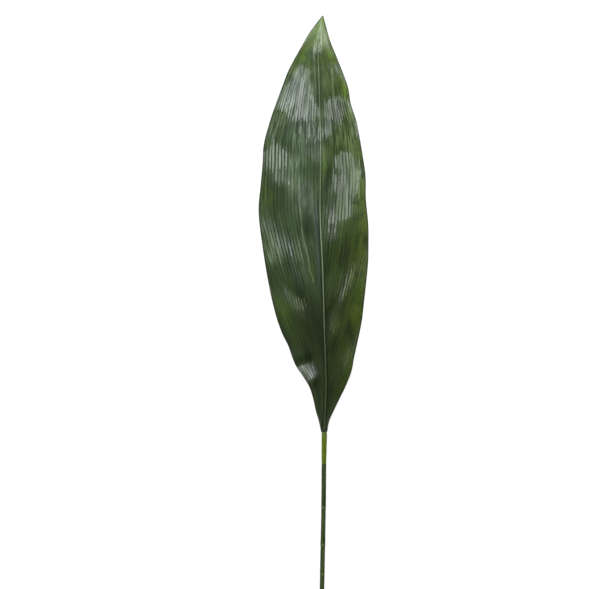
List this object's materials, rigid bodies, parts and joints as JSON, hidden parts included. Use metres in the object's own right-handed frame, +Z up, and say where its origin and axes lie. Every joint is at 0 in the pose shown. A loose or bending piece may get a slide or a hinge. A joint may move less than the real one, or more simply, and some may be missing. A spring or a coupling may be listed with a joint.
{
  "type": "artificial aspidistra leaf",
  "caption": "Long pointed dark green leaf with a raised midrib, fine lengthwise ribs and softly waved margins, on a straight tape-wound stem with a bright sleeve where blade and stem meet.",
  "frame": {"origin": "middle of the footprint, on the surface that the leaf lies on", "axes": "+Y along the leaf from the cut stem to the tip, +Z up out of the blade's upper face, +X to the right seen from above"},
  "size_m": [0.119, 0.7, 0.0197],
  "materials": {
    "blade": "semi-gloss, embossed with fine lengthwise ribs",
    "wire": "satin green coat",
    "tape": "waxed paper tape, wound in a long helix",
    "sleeve": "satin, bright yellow-green"
  },
  "bodies": {
    "root": {"leaf_blade": "blade", "stem_wire": "wire", "stem_tape": "tape", "sleeve": "sleeve"}
  },
  "joints": []
}
